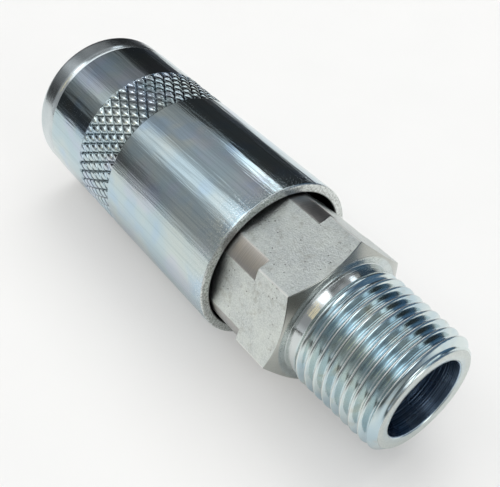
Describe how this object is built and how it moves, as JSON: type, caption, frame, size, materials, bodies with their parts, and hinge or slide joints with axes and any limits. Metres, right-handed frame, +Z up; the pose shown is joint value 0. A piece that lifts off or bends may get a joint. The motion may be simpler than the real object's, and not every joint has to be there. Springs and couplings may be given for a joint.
{
  "type": "quick disconnect coupler",
  "caption": "Sleeve-operated ball-lock quick disconnect coupler for compressed air, with a knurled sliding sleeve, wrench hexagon, tapered male pipe thread and inner check valve.",
  "frame": {"origin": "on the coupler's axis, halfway between the nose face and the thread's end face", "axes": "+X along the axis towards the pipe thread, +Z up with the coupler lying on its sleeve"},
  "size_m": [0.0904, 0.0296, 0.0296],
  "materials": {
    "bright_zinc": "polished",
    "dull_zinc": "satin",
    "hard_steel": "polished",
    "spring_steel": "satin",
    "brass": "satin",
    "nitrile": "matte"
  },
  "bodies": {
    "body": {"threaded_body": "dull_zinc", "socket_barrel": "bright_zinc", "plug_seal": "nitrile", "barrel_o_ring": "nitrile", "valve_guide": "brass", "guide_circlip": "spring_steel", "valve_spring": "spring_steel"},
    "spring_seat": {"rear_spring_washer": "spring_steel", "sleeve_spring": "spring_steel"},
    "sleeve": {"sleeve": "bright_zinc", "front_spring_washer": "spring_steel"},
    "valve": {"valve_poppet": "brass", "valve_seal": "nitrile"},
    "ball_1": {"locking_ball_1": "hard_steel"},
    "ball_2": {"locking_ball_2": "hard_steel"},
    "ball_3": {"locking_ball_3": "hard_steel"},
    "ball_4": {"locking_ball_4": "hard_steel"},
    "ball_5": {"locking_ball_5": "hard_steel"},
    "ball_6": {"locking_ball_6": "hard_steel"},
    "ball_7": {"locking_ball_7": "hard_steel"},
    "ball_8": {"locking_ball_8": "hard_steel"}
  },
  "joints": [
    {"name": "sleeve_spin", "type": "hinge", "parent": "body", "child": "spring_seat", "pos_m": [0, 0, 0], "axis": [1, 0, 0], "continuous": true},
    {"name": "sleeve_slide", "type": "slide", "parent": "spring_seat", "child": "sleeve", "axis": [1, 0, 0], "range_m": [0, 0.006], "stiffness_N_per_m": 1500, "springref_m": -0.006, "deforming": ["sleeve_spring"]},
    {"name": "valve_slide", "type": "slide", "parent": "body", "child": "valve", "axis": [1, 0, 0], "range_m": [0, 0.004], "stiffness_N_per_m": 500, "springref_m": -0.004, "deforming": ["valve_spring"]},
    {"name": "ball_1_lift", "type": "slide", "parent": "body", "child": "ball_1", "axis": [0, 0.9239, 0.3827], "range_m": [0, 0.0011]},
    {"name": "ball_2_lift", "type": "slide", "parent": "body", "child": "ball_2", "axis": [0, 0.3827, 0.9239], "range_m": [0, 0.0011]},
    {"name": "ball_3_lift", "type": "slide", "parent": "body", "child": "ball_3", "axis": [0, -0.3827, 0.9239], "range_m": [0, 0.0011]},
    {"name": "ball_4_lift", "type": "slide", "parent": "body", "child": "ball_4", "axis": [0, -0.9239, 0.3827], "range_m": [0, 0.0011]},
    {"name": "ball_5_lift", "type": "slide", "parent": "body", "child": "ball_5", "axis": [0, -0.9239, -0.3827], "range_m": [0, 0.0011]},
    {"name": "ball_6_lift", "type": "slide", "parent": "body", "child": "ball_6", "axis": [0, -0.3827, -0.9239], "range_m": [0, 0.0011]},
    {"name": "ball_7_lift", "type": "slide", "parent": "body", "child": "ball_7", "axis": [0, 0.3827, -0.9239], "range_m": [0, 0.0011]},
    {"name": "ball_8_lift", "type": "slide", "parent": "body", "child": "ball_8", "axis": [0, 0.9239, -0.3827], "range_m": [0, 0.0011]}
  ],
  "couplings": [
    {"joint": "ball_1_lift", "follows": "sleeve_slide", "ratio": 0.183},
    {"joint": "ball_2_lift", "follows": "sleeve_slide", "ratio": 0.183},
    {"joint": "ball_3_lift", "follows": "sleeve_slide", "ratio": 0.183},
    {"joint": "ball_4_lift", "follows": "sleeve_slide", "ratio": 0.183},
    {"joint": "ball_5_lift", "follows": "sleeve_slide", "ratio": 0.183},
    {"joint": "ball_6_lift", "follows": "sleeve_slide", "ratio": 0.183},
    {"joint": "ball_7_lift", "follows": "sleeve_slide", "ratio": 0.183},
    {"joint": "ball_8_lift", "follows": "sleeve_slide", "ratio": 0.183}
  ]
}
